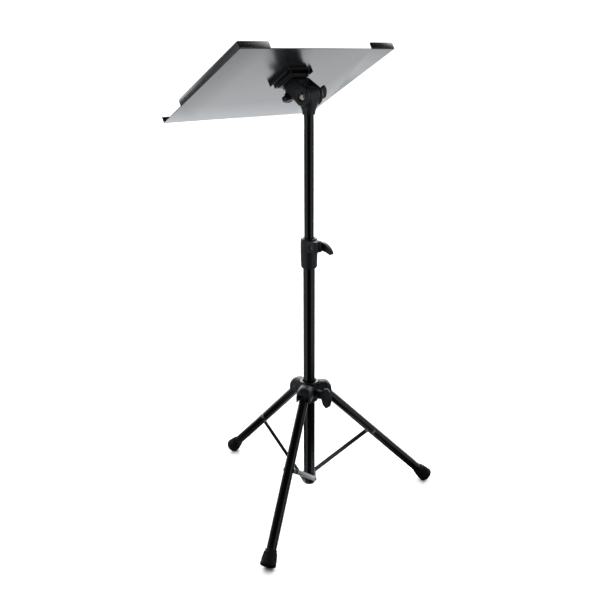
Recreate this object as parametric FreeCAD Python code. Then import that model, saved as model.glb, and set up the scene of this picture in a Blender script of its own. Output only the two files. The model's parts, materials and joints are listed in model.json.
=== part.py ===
"""Free-standing music stand: tripod base, telescopic mast, tilting head and sheet desk."""
import FreeCAD
import Part
import math
import os

V = FreeCAD.Vector

# Frame: origin on the floor under the mast, +Z up, X along the desk's width,
# the musician stands on the -Y side. All sizes in millimetres and degrees.
FIT = 0.05            # radial gap between curved faces that stay put
RUN = 0.08            # radial gap round pins and rivets
SLIDE = 0.3           # radial gap between tubes and bushes that slide or swivel

# Mast
TUBE_OD = 31.8
TUBE_WALL = 1.5
INNER_OD = 25.4
INNER_WALL = 1.5
TUBE_BOTTOM = 70.0
TUBE_TOP = 738.0
PIVOT_Z = 1122.0
INNER_BOTTOM = 490.0
PLUG_BOTTOM = 40.0
PLUG_FLAT = TUBE_OD / 2 + 0.4     # plug axis to each riveting flat, clear of the tube
PLUG_CORNER = PLUG_FLAT + 4.7
PLUG_PIVOT_Z = 51.5

# Height clamp
COLLAR_BOTTOM = 684.0
COLLAR_TOP = 764.0
COLLAR_R = TUBE_OD / 2 + 6.9
EAR_Z = (731.0, 760.0)
BOLT_Y = TUBE_OD / 2 + 9.1
EAR_END = BOLT_Y + 13.0
BOLT_Z = 744.0
BOLT_R = 4.0
LEVER_X = -14.4       # inner face of the lever
LEVER_BACK = 11.5     # bolt to the rounded back of the lever

# Hub and legs
LEG_AZIMUTHS = {"rear_right": 30.0, "rear_left": 150.0, "front": 270.0}
LEG_ANGLE = 44.8      # below the horizontal, legs open
LINER_R = TUBE_OD / 2 + 2.1
SLEEVE_R = LINER_R + 6.0
HINGE_R = SLEEVE_R + 14.0
HINGE_Z = 333.3
HUB_BOTTOM = 302.0
HUB_TOP = 350.0
LEG_OD = 25.4
LEG_WALL = 1.5
EYE_R = 11.5
YOKE_IN = 13.8        # half the gap between the yoke's cheeks
YOKE_OUT = 19.5
YOKE_END = HINGE_R + 22.0
YOKE_DROP = 15.0      # hinge pin to the cheeks' lower edge
YOKE_RISE = 12.7      # hinge pin to the roof's outer end
YOKE_ROUND = 15.0
KNOB_Z = 331.0
FOOT_R = 20.5
FOOT_LENGTH = 42.0
FOOT_EDGE = 6.0
FOOT_PATCH = 0.8       # rubber taken off the rounded edge to leave the flat resting patch

# Straps between the legs and the mast plug
STRAP_LEG_REACH = 211.4   # leg hinge to strap rivet, along the leg
STRAP_WIDTH = 13.0
STRAP_THICK = 3.0
STRAP_OFFSET = PLUG_FLAT + 0.3
RIVET_R = 3.0

# Head
KNUCKLE_R = 24.0
KNUCKLE_HALF = 17.8
WASHER = 1.0
CHEEK = 7.2
CHEEK_R = 24.5
SOCKET_DROP = 45.0
YOKE_TOP = 50.0       # tilt axis to the yoke's top face
YOKE_SPAN = (3.0, 48.0)
HEAD_X = 9.0          # head plate and desk bracket sit this far towards +X

# Desk
TILT = 29.1
DESK_WIDTH = 510.0
DESK_DEPTH = 364.0
DESK_SHEET = 1.2
DESK_UNDER = 69.4     # tilt axis to the underside of the sheet
DESK_UPPER = -101.0    # top edge, measured down the slope from the tilt axis
FLANGE = 17.7
CORNER_FLANGE = 89.0
SIDE_FLANGE = 270.0
SLIDE_HALF = 28.0
PLATE = 3.0
BRACKET_HALF = 44.0
BRACKET_SPAN = (-9.0, 64.0)
DESK_KNOB_S = 60.0


def box(x0, x1, y0, y1, z0, z1):
    return Part.makeBox(x1 - x0, y1 - y0, z1 - z0, V(x0, y0, z0))


def rod(radius, start, end):
    """Cylinder between two points."""
    a = V(*start)
    axis = V(*end) - a
    return Part.makeCylinder(radius, axis.Length, a, axis)


def pipe(outer, inner, z0, z1):
    return rod(outer, (0, 0, z0), (0, 0, z1)).cut(rod(inner, (0, 0, z0 - 1), (0, 0, z1 + 1)))


def turned(profile):
    """Solid of revolution about Z from (radius, height) corners."""
    wire = Part.makePolygon([V(r, 0, z) for r, z in profile] + [V(profile[0][0], 0, profile[0][1])])
    return Part.Face(wire).revolve(V(0, 0, 0), V(0, 0, 1), 360)


def prism(points, plane, start, end):
    """Plate whose outline lies in plane 'yz', 'xz' or 'xy', from start to end on the third axis."""
    place = {"yz": lambda a, b: V(start, a, b),
             "xz": lambda a, b: V(a, start, b),
             "xy": lambda a, b: V(a, b, start)}
    reach = {"yz": V(end - start, 0, 0), "xz": V(0, end - start, 0), "xy": V(0, 0, end - start)}
    corners = [place[plane](a, b) for a, b in points]
    return Part.Face(Part.makePolygon(corners + [corners[0]])).extrude(reach[plane])


def joined(shapes):
    whole = shapes[0].multiFuse(shapes[1:])
    return whole.removeSplitter()


def turned_about(shape, point, axis, angle):
    moved = shape.copy()
    moved.rotate(V(*point), V(*axis), angle)
    return moved


def moved_by(shape, offset):
    moved = shape.copy()
    moved.translate(V(*offset))
    return moved


def dome(radius, height, base_z):
    """Shallow button head on the plane z = base_z."""
    ball = (radius * radius + height * height) / (2 * height)
    half = math.asin(radius / ball) / 2
    rim = V(radius, 0, base_z)
    top = V(0, 0, base_z + height)
    mid = V(ball * math.sin(half), 0, base_z + height - ball + ball * math.cos(half))
    centre = V(0, 0, base_z)
    arc = Part.Arc(rim, mid, top).toShape()
    profile = Part.Wire([Part.makeLine(centre, rim), arc, Part.makeLine(top, centre)])
    return Part.Face(profile).revolve(V(0, 0, 0), V(0, 0, 1), 360)


def along_x(shape, x, y, z, sign=1):
    """Stand a shape made along +Z along +X or -X."""
    return moved_by(turned_about(shape, (0, 0, 0), (0, 1, 0), 90 * sign), (x, y, z))


# ---- mast ------------------------------------------------------------------------------

def lower_tube():
    return pipe(TUBE_OD / 2, TUBE_OD / 2 - TUBE_WALL, TUBE_BOTTOM, TUBE_TOP)


def mast_plug():
    """Three-sided end plug; each flat takes the lower rivet of one strap."""
    body = rod(PLUG_CORNER, (0, 0, PLUG_BOTTOM), (0, 0, TUBE_BOTTOM))
    keep = PLUG_CORNER + 1
    for azimuth in (0, 120, 240):
        outside = box(PLUG_FLAT, 2 * keep, -keep, keep, 0, TUBE_BOTTOM + 1)
        body = body.cut(turned_about(outside, (0, 0, 0), (0, 0, 1), azimuth))
    under = turned([(0, PLUG_BOTTOM), (15, PLUG_BOTTOM), (PLUG_CORNER + 1, PLUG_BOTTOM + 7),
                    (PLUG_CORNER + 1, TUBE_BOTTOM), (0, TUBE_BOTTOM)])
    spigot = rod(TUBE_OD / 2 - TUBE_WALL - FIT, (0, 0, TUBE_BOTTOM - 1), (0, 0, TUBE_BOTTOM + 25))
    return joined([body.common(under), spigot])


def clamp_collar():
    """Barrel collar, split down its upper half, with two ears on the +Y side."""
    mid = (COLLAR_BOTTOM + COLLAR_TOP) / 2
    barrel = turned([(0, COLLAR_BOTTOM), (COLLAR_R - 3.8, COLLAR_BOTTOM), (COLLAR_R - 1.3, COLLAR_BOTTOM + 4),
                     (COLLAR_R - 0.6, COLLAR_BOTTOM + 22), (COLLAR_R, mid + 8),
                     (COLLAR_R - 0.5, COLLAR_TOP - 6), (COLLAR_R - 2, COLLAR_TOP), (0, COLLAR_TOP)])
    ears = prism([(-21, 4), (-11, EAR_END), (15, EAR_END), (20, 6)], "xy", *EAR_Z)
    height = EAR_Z[1] - EAR_Z[0]
    upright = [e for e in ears.Edges if abs(e.Length - height) < 0.01 and e.Vertexes[0].Y > 20]
    ears = ears.makeFillet(4, upright)
    body = joined([barrel, ears])
    body = body.cut(rod(TUBE_OD / 2 + FIT, (0, 0, 0), (0, 0, TUBE_TOP + 0.5)))
    body = body.cut(rod(TUBE_OD / 2 - TUBE_WALL + 1.2, (0, 0, TUBE_TOP), (0, 0, COLLAR_TOP + 1)))
    body = body.cut(box(-1.5, 1.5, 0, EAR_END + 1, EAR_Z[0] - 6, COLLAR_TOP + 1))
    body = body.cut(rod(BOLT_R + RUN, (-30, BOLT_Y, BOLT_Z), (30, BOLT_Y, BOLT_Z)))
    head_seat = rod(8, (16, BOLT_Y, BOLT_Z), (30, BOLT_Y, BOLT_Z))
    pocket = rod(LEVER_BACK + 1, (-40, BOLT_Y, BOLT_Z), (LEVER_X + SLIDE, BOLT_Y, BOLT_Z))
    above = box(-40, LEVER_X + SLIDE, BOLT_Y - LEVER_BACK - 1, EAR_END + 1, BOLT_Z, COLLAR_TOP + 1)
    return body.cut(head_seat).cut(pocket).cut(above)


def collar_bush():
    """Slit plastic bush that grips the inner tube inside the collar."""
    outer = TUBE_OD / 2 - TUBE_WALL + 1.2 - FIT
    bush = pipe(outer, INNER_OD / 2 + SLIDE, TUBE_TOP, COLLAR_TOP - 1.5)
    return bush.cut(box(-1.0, 1.0, 0, 20, TUBE_TOP - 1, COLLAR_TOP))


def clamp_bolt():
    """Through bolt of the clamp, with its button head on the +X ear."""
    shank = rod(BOLT_R, (-27, BOLT_Y, BOLT_Z), (16.2, BOLT_Y, BOLT_Z))
    return joined([shank, along_x(dome(7.5, 2.6, 16.0), 0, BOLT_Y, BOLT_Z)])


def clamp_lever():
    """Curved lever that draws the ears together, turning on the clamp bolt."""
    x, y, z = LEVER_X, BOLT_Y, BOLT_Z
    top = Part.Arc(V(x, y, z + 11), V(x, y + 27, z + 4), V(x, y + 41, z - 12))
    tip = Part.Arc(V(x, y + 41, z - 12), V(x, y + 40, z - 16), V(x, y + 34, z - 17))
    under = Part.Arc(V(x, y + 34, z - 17), V(x, y + 18, z - 12.6), V(x, y, z - 11.2))
    back = Part.Arc(V(x, y, z - 11.2), V(x, y - LEVER_BACK, z), V(x, y, z + 11))
    outline = Part.Wire([arc.toShape() for arc in (top, tip, under, back)])
    blade = Part.Face(outline).extrude(V(-11, 0, 0))
    boss = rod(9, (x - 10, y, z), (x - 14, y, z))
    return joined([blade, boss]).cut(rod(BOLT_R + RUN, (-60, y, z), (0, y, z)))


def guide_bush():
    """Bearing bush that slides in the lower tube and carries the inner tube on its shoulder."""
    bearing = rod(TUBE_OD / 2 - TUBE_WALL - SLIDE, (0, 0, INNER_BOTTOM - 40), (0, 0, INNER_BOTTOM))
    spigot = rod(INNER_OD / 2 - INNER_WALL - SLIDE, (0, 0, INNER_BOTTOM - 1), (0, 0, INNER_BOTTOM + 28))
    return joined([bearing, spigot])


def inner_tube():
    top = PIVOT_Z - SOCKET_DROP + 30
    return pipe(INNER_OD / 2, INNER_OD / 2 - INNER_WALL, INNER_BOTTOM, top)


# ---- hub -------------------------------------------------------------------------------

def yoke_section(r, top, half, bottom, corner):
    """Upright section of one hub yoke at radius r, with rounded upper corners."""
    y0, y1 = -half, half
    c = corner
    k = c * (1 - math.cos(math.radians(45)))
    left = Part.Arc(V(r, y0, top - c), V(r, y0 + k, top - k), V(r, y0 + c, top)).toShape()
    right = Part.Arc(V(r, y1 - c, top), V(r, y1 - k, top - k), V(r, y1, top - c)).toShape()
    roof = Part.makeLine(V(r, y0 + c, top), V(r, y1 - c, top))
    down = Part.makeLine(V(r, y1, top - c), V(r, y1, bottom))
    floor = Part.makeLine(V(r, y1, bottom), V(r, y0, bottom))
    up = Part.makeLine(V(r, y0, bottom), V(r, y0, top - c))
    return Part.Wire([left, roof, right, down, floor, up])


def hub_yoke():
    """Hood that holds one leg, along +X: an arched roof falling at its outer end, and two short cheeks."""
    low = HINGE_Z - YOKE_DROP
    roof = HINGE_Z + YOKE_RISE
    shell = Part.makeLoft([yoke_section(10, roof + 13, YOKE_OUT, low, YOKE_ROUND),
                           yoke_section(YOKE_END - 12, roof + 11, YOKE_OUT, low, YOKE_ROUND),
                           yoke_section(YOKE_END - 4, roof + 6, YOKE_OUT, low, YOKE_ROUND),
                           yoke_section(YOKE_END, roof, YOKE_OUT, low, YOKE_ROUND)], True, True)
    under = HINGE_Z + EYE_R + 1
    near = SLEEVE_R + 1.5
    knee = HINGE_R + 9
    far = HINGE_R + 42
    space = [(near, 200), (near, under), (knee, under), (far, under - 17), (far, 200)]
    hollow = prism(space, "xz", -YOKE_IN, YOKE_IN)
    return shell.cut(hollow)


def hub():
    """Cast hub: sleeve, three leg yokes and the boss of the clamp screw."""
    parts = [rod(SLEEVE_R, (0, 0, HUB_BOTTOM), (0, 0, HUB_TOP))]
    for azimuth in LEG_AZIMUTHS.values():
        parts.append(turned_about(hub_yoke(), (0, 0, 0), (0, 0, 1), azimuth))
    parts.append(rod(12, (0, 10, KNOB_Z), (0, 47, KNOB_Z)))
    body = joined(parts)
    body = body.cut(rod(LINER_R + FIT, (0, 0, 0), (0, 0, 500)))
    body = body.cut(rod(28, (0, 0, HUB_TOP), (0, 0, 500)))
    body = body.cut(rod(BOLT_R + SLIDE, (0, 0, KNOB_Z), (0, 60, KNOB_Z)))
    for azimuth in LEG_AZIMUTHS.values():
        bore = rod(BOLT_R + FIT, (HINGE_R, -30, HINGE_Z), (HINGE_R, 30, HINGE_Z))
        body = body.cut(turned_about(bore, (0, 0, 0), (0, 0, 1), azimuth))
    return body


def hub_liner():
    """Plastic liner of the hub, with the raised ring round the mast on top."""
    bore = TUBE_OD / 2 + SLIDE
    ring = HUB_TOP + 11
    body = turned([(bore, HUB_BOTTOM), (LINER_R, HUB_BOTTOM), (LINER_R, HUB_TOP),
                   (SLEEVE_R + 1.2, HUB_TOP), (SLEEVE_R + 2, HUB_TOP + 2), (SLEEVE_R + 2, ring - 2.5),
                   (SLEEVE_R + 0.5, ring), (LINER_R + 2.5, ring), (LINER_R + 0.5, ring - 2),
                   (LINER_R + 0.5, HUB_TOP + 3), (bore, HUB_TOP + 3)])
    return body.cut(rod(BOLT_R + SLIDE, (0, 0, KNOB_Z), (0, 60, KNOB_Z)))


def leg_pins():
    """The three hinge pins of the legs."""
    pins = []
    for azimuth in LEG_AZIMUTHS.values():
        shank = rod(BOLT_R, (0, 0, -YOKE_OUT - 0.5), (0, 0, YOKE_OUT + 0.5))
        head = dome(6.5, 2.5, YOKE_OUT)
        pin = joined([shank, head, turned_about(head, (0, 0, 0), (1, 0, 0), 180)])
        pin = moved_by(turned_about(pin, (0, 0, 0), (1, 0, 0), 90), (HINGE_R, 0, HINGE_Z))
        pins.append(turned_about(pin, (0, 0, 0), (0, 0, 1), azimuth))
    return Part.Compound(pins)


def wing_knob(wings, lift, reach, thick, boss_r, boss_len):
    """Knob along +Z: a round boss and a flat wing either side of it, in the XZ plane."""
    outline = []
    for side, span in zip((1, -1), wings):
        edge = [(0.32 * span, lift), (0.8 * span, lift + 0.2 * reach), (span, lift + 0.55 * reach),
                (0.68 * span, lift + 0.9 * reach), (0.28 * span, lift + reach)]
        outline += [(side * x, z) for x, z in edge][::side]
    wing = prism(outline, "xz", -thick / 2, thick / 2)
    rims = [e for e in wing.Edges if abs(e.Vertexes[0].Y - e.Vertexes[1].Y) < 0.01]
    wing = wing.makeFillet(thick * 0.3, rims)
    boss = rod(boss_r, (0, 0, 0), (0, 0, boss_len))
    return joined([boss, wing])


def hub_knob():
    """Wing knob that locks the hub on the mast."""
    knob = wing_knob((32, 27), 3, 34, 10, 9.5, 18)
    knob = turned_about(knob, (0, 0, 0), (0, 0, 1), 90)
    knob = turned_about(knob, (0, 0, 0), (1, 0, 0), -90)
    knob = moved_by(knob, (0, 48, KNOB_Z))
    return knob.cut(rod(BOLT_R + FIT, (0, 0, KNOB_Z), (0, 68, KNOB_Z)))


def hub_screw():
    """Clamp screw of the hub knob; its end stands just off the mast."""
    return rod(BOLT_R, (0, TUBE_OD / 2 + SLIDE, KNOB_Z), (0, 67, KNOB_Z))


# ---- legs: made along +X, then turned to their place round the mast --------------------

def leg_point(distance):
    """Point on the leg's axis at a distance from its hinge."""
    angle = math.radians(LEG_ANGLE)
    return (HINGE_R + distance * math.cos(angle), 0, HINGE_Z - distance * math.sin(angle))


def leg_length():
    """Hinge to sole, such that the foot's rounded edge reaches the floor."""
    angle = math.radians(LEG_ANGLE)
    drop = HINGE_Z + FOOT_PATCH - FOOT_EDGE - (FOOT_R - FOOT_EDGE) * math.cos(angle)
    return FOOT_EDGE + drop / math.sin(angle)


def on_leg(shape):
    """Stand a shape made along +Z, from the hinge, along the leg's axis."""
    return moved_by(turned_about(shape, (0, 0, 0), (0, 1, 0), 90 + LEG_ANGLE), (HINGE_R, 0, HINGE_Z))


def leg_tube():
    outer = LEG_OD / 2
    tube = rod(outer, leg_point(18), leg_point(leg_length() - 6))
    tube = tube.cut(rod(outer - LEG_WALL, leg_point(17), leg_point(leg_length())))
    x, y, z = leg_point(STRAP_LEG_REACH)
    return tube.cut(rod(RIVET_R + FIT, (x, -30, z), (x, 30, z)))


def leg_top():
    """Moulded top end of a leg: the hinge eye and a spigot in the tube."""
    half = YOKE_IN - 0.6
    eye = rod(EYE_R, (0, -half, 0), (0, half, 0))
    block = box(-EYE_R, EYE_R, -half, half, 0, 18).common(rod(14.6, (0, 0, -1), (0, 0, 18)))
    spigot = rod(LEG_OD / 2 - LEG_WALL - FIT, (0, 0, 17), (0, 0, 46))
    body = joined([eye, block, spigot]).cut(rod(BOLT_R + RUN, (0, -30, 0), (0, 30, 0)))
    return on_leg(body)


def foot():
    """Flared rubber foot with a rounded sole edge, pushed over the tube's end."""
    end = leg_length()
    start = end - FOOT_LENGTH
    neck = LEG_OD / 2 + 1.6
    flare = [V(neck, 0, start), V(neck + 0.4, 0, start + 5),
             V(FOOT_R - 1.2, 0, end - 12), V(FOOT_R, 0, end - FOOT_EDGE)]
    side = [Part.makeLine(flare[i], flare[i + 1]) for i in range(3)]
    k = FOOT_EDGE * math.cos(math.radians(45))
    flat = FOOT_R - FOOT_EDGE
    edge = Part.Arc(flare[3], V(flat + k, 0, end - FOOT_EDGE + k), V(flat, 0, end)).toShape()
    bore = LEG_OD / 2 + FIT
    corners = [V(flat, 0, end), V(0, 0, end), V(0, 0, end - 5.9),
               V(bore, 0, end - 5.9), V(bore, 0, start), flare[0]]
    inside = [Part.makeLine(corners[i], corners[i + 1]) for i in range(5)]
    face = Part.Face(Part.Wire(side + [edge] + inside))
    body = on_leg(face.revolve(V(0, 0, 0), V(0, 0, 1), 360))
    return body.cut(box(0, 500, -50, 50, -50, 0))


def strap_ends():
    """Upper and lower rivet centres of a strap, in the leg's own upright plane."""
    x, y, z = leg_point(STRAP_LEG_REACH)
    return (x, z), (0.0, PLUG_PIVOT_Z)


def on_strap(shape):
    """Stand a shape made along +X, from the upper rivet, along the strap."""
    (x0, z0), (x1, z1) = strap_ends()
    angle = math.degrees(math.atan2(z0 - z1, x1 - x0))
    return moved_by(turned_about(shape, (0, 0, 0), (0, 1, 0), angle), (x0, 0, z0))


def strap_length():
    (x0, z0), (x1, z1) = strap_ends()
    return math.hypot(x1 - x0, z1 - z0)


def strap():
    """Flat steel strap with a joggle that brings its upper end in to the leg."""
    near = LEG_OD / 2 + SLIDE
    far = STRAP_OFFSET
    length = strap_length()
    half = STRAP_WIDTH / 2
    joggle = [(-half, near), (13, near), (21, far), (length + half, far),
              (length + half, far + STRAP_THICK), (20, far + STRAP_THICK),
              (12, near + STRAP_THICK), (-half, near + STRAP_THICK)]
    bar = prism(joggle, "xy", -half, half)
    outline = joined([box(0, length, 0, 40, -half, half), rod(half, (0, 0, 0), (0, 40, 0)),
                      rod(half, (length, 0, 0), (length, 40, 0))])
    bar = bar.common(outline)
    bar = bar.cut(rod(RIVET_R + RUN, (0, 0, 0), (0, 40, 0)))
    bar = bar.cut(rod(RIVET_R + FIT, (length, 0, 0), (length, 40, 0)))
    return on_strap(bar)


def leg_rivet():
    """Rivet through the leg; the strap turns on its outer end."""
    outside = LEG_OD / 2 + SLIDE + STRAP_THICK + 0.1
    shank = rod(RIVET_R, (0, 0, -LEG_OD / 2 - 0.5), (0, 0, outside + 0.5))
    back = turned_about(dome(5.5, 2.2, LEG_OD / 2 + 0.02), (0, 0, 0), (1, 0, 0), 180)
    rivet = joined([shank, dome(5.5, 2.2, outside), back])
    x, y, z = leg_point(STRAP_LEG_REACH)
    return moved_by(turned_about(rivet, (0, 0, 0), (1, 0, 0), -90), (x, 0, z))


def plug_rivet():
    """Lower rivet of a strap, held in the strap and standing just off the plug's flat."""
    outside = STRAP_OFFSET + STRAP_THICK
    rivet = joined([rod(RIVET_R, (0, 0, STRAP_OFFSET), (0, 0, outside + 0.5)), dome(5.5, 2.2, outside)])
    return moved_by(turned_about(rivet, (0, 0, 0), (1, 0, 0), -90), (0, 0, PLUG_PIVOT_Z))


# ---- head: made level about the tilt axis, then tilted and lifted ----------------------

def tilted(shape):
    return moved_by(turned_about(shape, (0, 0, 0), (1, 0, 0), TILT), (0, 0, PIVOT_Z))


def tilt_socket():
    """Moulded socket on the inner tube, ending in the flat-sided knuckle."""
    neck = turned([(0, -SOCKET_DROP), (15.2, -SOCKET_DROP), (15.8, -SOCKET_DROP + 1.5), (16.6, -36),
                   (21.5, -23), (23, -14), (23, 0), (0, 0)])
    knuckle = rod(KNUCKLE_R, (-KNUCKLE_HALF, 0, 0), (KNUCKLE_HALF, 0, 0))
    body = joined([neck, knuckle]).common(box(-KNUCKLE_HALF, KNUCKLE_HALF, -40, 40, -60, 40))
    body = body.cut(rod(BOLT_R + RUN, (-30, 0, 0), (30, 0, 0)))
    body = body.cut(rod(INNER_OD / 2 + FIT, (0, 0, -SOCKET_DROP - 1), (0, 0, -SOCKET_DROP + 30.5)))
    return moved_by(body, (0, 0, PIVOT_Z))


def tangent(point, radius, side):
    """Where the line from a point touches the circle round the tilt axis."""
    py, pz = point
    reach = math.hypot(py, pz)
    angle = math.atan2(pz, py) + side * math.acos(radius / reach)
    return (radius * math.cos(angle), radius * math.sin(angle))


def tilt_yoke():
    """Two cheeks beside the knuckle, joined by the bridge that carries the head plate."""
    inner = KNUCKLE_HALF + WASHER
    outer = inner + CHEEK
    front = (-YOKE_SPAN[1], YOKE_TOP)
    rear = (-YOKE_SPAN[0], YOKE_TOP)
    wedge = [front, tangent(front, CHEEK_R, 1), (0, 0), tangent(rear, CHEEK_R, -1), rear]
    body = joined([prism(wedge, "yz", -outer, outer), rod(CHEEK_R, (-outer, 0, 0), (outer, 0, 0))])
    body = body.cut(box(-inner, inner, -80, 60, -40, YOKE_TOP - 10))
    recess = rod(11.5, (outer - 3, 0, 0), (outer + 1, 0, 0))
    body = body.cut(recess).cut(rod(BOLT_R + FIT, (-40, 0, 0), (40, 0, 0)))
    return tilted(body)


def tilt_washers():
    """Friction washers either side of the knuckle."""
    rings = []
    for side in (-1, 1):
        a = side * KNUCKLE_HALF
        b = side * (KNUCKLE_HALF + WASHER)
        ring = rod(20, (min(a, b), 0, 0), (max(a, b), 0, 0))
        rings.append(moved_by(ring.cut(rod(BOLT_R + FIT, (-40, 0, 0), (40, 0, 0))), (0, 0, PIVOT_Z)))
    return Part.Compound(rings)


def tilt_bolt():
    """Carriage bolt along the tilt axis, its nickel head in the +X cheek."""
    seat = KNUCKLE_HALF + WASHER + CHEEK - 3
    bolt = joined([rod(BOLT_R, (-40, 0, 0), (seat + 0.5, 0, 0)), along_x(dome(10, 5, seat), 0, 0, 0)])
    return moved_by(bolt, (0, 0, PIVOT_Z))


def tilt_knob():
    """Paddle knob that tightens the tilt bolt, its long wing pointing up."""
    knob = wing_knob((25, 9), 8, 24, 8, 8.5, 18)
    knob = along_x(knob, -(KNUCKLE_HALF + WASHER + CHEEK), 0, 0, -1)
    knob = turned_about(knob, (0, 0, 0), (1, 0, 0), -14)
    return moved_by(knob.cut(rod(BOLT_R + RUN, (-41, 0, 0), (0, 0, 0))), (0, 0, PIVOT_Z))


def slope_box(x0, x1, s0, s1, z0, z1):
    """Box whose second range is measured down the desk's slope."""
    return box(x0, x1, -s1, -s0, z0, z1)


def head_plate():
    """Plate on the yoke with the flat rail that the desk's guides ride on."""
    rail = SLIDE_HALF - SLIDE
    tongue = slope_box(-6.5, 6.5, 50, DESK_KNOB_S, YOKE_TOP, YOKE_TOP + PLATE)
    tongue_end = rod(6.5, (0, -DESK_KNOB_S, YOKE_TOP), (0, -DESK_KNOB_S, YOKE_TOP + PLATE))
    body = joined([slope_box(-SLIDE_HALF, SLIDE_HALF, -4, 56, YOKE_TOP, YOKE_TOP + PLATE), tongue, tongue_end,
                   slope_box(-SLIDE_HALF + 6.5, SLIDE_HALF - 6.5, -4, 56, YOKE_TOP + PLATE, YOKE_TOP + 6.3),
                   slope_box(-rail, rail, -4, 56, YOKE_TOP + 6.3, YOKE_TOP + 9)])
    body = moved_by(body, (HEAD_X, 0, 0))
    body = body.cut(rod(RIVET_R + SLIDE, (HEAD_X, -DESK_KNOB_S, 0), (HEAD_X, -DESK_KNOB_S, 100)))
    for x, s in yoke_screw_places():
        body = body.cut(rod(2.6, (x, -s, 0), (x, -s, 100)))
        body = body.cut(rod(5.3, (x, -s, YOKE_TOP + 6.5), (x, -s, 100)))
    return tilted(body)


def yoke_screw_places():
    return [(HEAD_X + x, s) for x in (-13, 11) for s in (10, 38)]


def yoke_screws():
    """Flat-headed screws holding the head plate on the yoke's bridge."""
    screws = []
    for x, s in yoke_screw_places():
        shank = rod(2.5, (x, -s, YOKE_TOP), (x, -s, YOKE_TOP + 7))
        head = rod(5, (x, -s, YOKE_TOP + 6.5), (x, -s, YOKE_TOP + 8.9))
        screws.append(tilted(joined([shank, head])))
    return Part.Compound(screws)


def desk_bracket():
    """Pressed channel under the desk: outer flanges and two hooked guides."""
    s0, s1 = BRACKET_SPAN
    web = DESK_UNDER - 2.5
    parts = [slope_box(-BRACKET_HALF, BRACKET_HALF, s0, s1, web, DESK_UNDER)]
    for side in (-1, 1):
        wall = sorted((side * (BRACKET_HALF - 2), side * BRACKET_HALF))
        guide = sorted((side * (SLIDE_HALF + 0.2), side * (SLIDE_HALF + 2.6)))
        hook = sorted((side * (SLIDE_HALF - 6), side * (SLIDE_HALF + 2.6)))
        parts.append(slope_box(*wall, s0, s1, web - 8, web + 1))
        parts.append(slope_box(*guide, s0, s1, YOKE_TOP + 3.5, web + 1))
        parts.append(slope_box(*hook, s0, s1, YOKE_TOP + 3.5, YOKE_TOP + 6))
    body = moved_by(joined(parts), (HEAD_X, 0, 0))
    for x, s in bracket_screw_places():
        body = body.cut(rod(2.1, (x, -s, 0), (x, -s, 100)))
    return tilted(body)


def bracket_screw_places():
    return [(HEAD_X + x, s) for x in (-35, 35) for s in (7, 50)]


def bracket_screws():
    """Pan-headed screws from the bracket into the sheet."""
    screws = []
    web = DESK_UNDER - 2.5
    for x, s in bracket_screw_places():
        head = turned_about(dome(4.0, 2.4, -web), (0, 0, 0), (1, 0, 0), 180)
        shank = rod(2.0, (0, 0, web - 0.5), (0, 0, DESK_UNDER + DESK_SHEET))
        screws.append(tilted(moved_by(joined([shank, head]), (x, -s, 0))))
    return Part.Compound(screws)


def desk_sheet():
    """Sheet desk with a full-width lip, part side flanges and two short top flanges."""
    half = DESK_WIDTH / 2
    s0 = DESK_UPPER
    s1 = DESK_UPPER + DESK_DEPTH
    low = DESK_UNDER
    high = DESK_UNDER + FLANGE
    t = DESK_SHEET
    parts = [slope_box(-half, half, s0, s1, low, low + t), slope_box(-half, half, s1 - t, s1, low, high)]
    for side in (-1, 1):
        wall = sorted((side * (half - t), side * half))
        corner = sorted((side * (half - CORNER_FLANGE), side * half))
        parts.append(slope_box(*wall, s0, s0 + SIDE_FLANGE, low, high))
        parts.append(slope_box(*corner, s0, s0 + t, low, high))
    body = joined(parts)
    for x, s in bracket_screw_places():
        body = body.cut(rod(2.1, (x, -s, 0), (x, -s, 100)))
    return tilted(body)


def desk_knob():
    """Round knob with one lobe, under the head plate."""
    s = DESK_KNOB_S
    body = turned([(0, 16), (9, 16), (14, 19), (16, 23), (16, 28), (13, 32), (7, 34), (7, 38), (0, 38)])
    lobe = box(13, 20.5, -3, 3, 21, 28)
    lobe = turned_about(lobe, (0, 0, 0), (0, 0, 1), 20)
    knob = moved_by(joined([body, lobe]), (HEAD_X, -s, 0))
    return tilted(knob.cut(rod(RIVET_R + FIT, (HEAD_X, -s, 27), (HEAD_X, -s, 60))))


def desk_screw():
    """Screw of the desk knob; its end stands just off the desk bracket."""
    s = DESK_KNOB_S
    return tilted(rod(RIVET_R, (HEAD_X, -s, 27.2), (HEAD_X, -s, DESK_UNDER - 2.8)))


def write(name, shape):
    shape.exportStep("parts/" + name + ".step")
    print(name, len(shape.Solids), round(shape.Volume, 1))


def main():
    os.makedirs("parts", exist_ok=True)
    single = [lower_tube, mast_plug, clamp_collar, collar_bush, clamp_bolt, clamp_lever,
              guide_bush, inner_tube, hub, hub_liner, leg_pins, hub_knob, hub_screw,
              tilt_socket, tilt_yoke, tilt_washers, tilt_bolt, tilt_knob, head_plate,
              yoke_screws, desk_bracket, bracket_screws, desk_sheet, desk_knob, desk_screw]
    for make in single:
        write(make.__name__, make())
    for place, azimuth in LEG_AZIMUTHS.items():
        for make in (leg_tube, leg_top, foot, strap, leg_rivet, plug_rivet):
            write(make.__name__ + "_" + place, turned_about(make(), (0, 0, 0), (0, 0, 1), azimuth))


main()
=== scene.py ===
import json
import math
import bmesh
import bpy
from mathutils import Matrix, Vector
from mathutils.bvhtree import BVHTree


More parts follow.
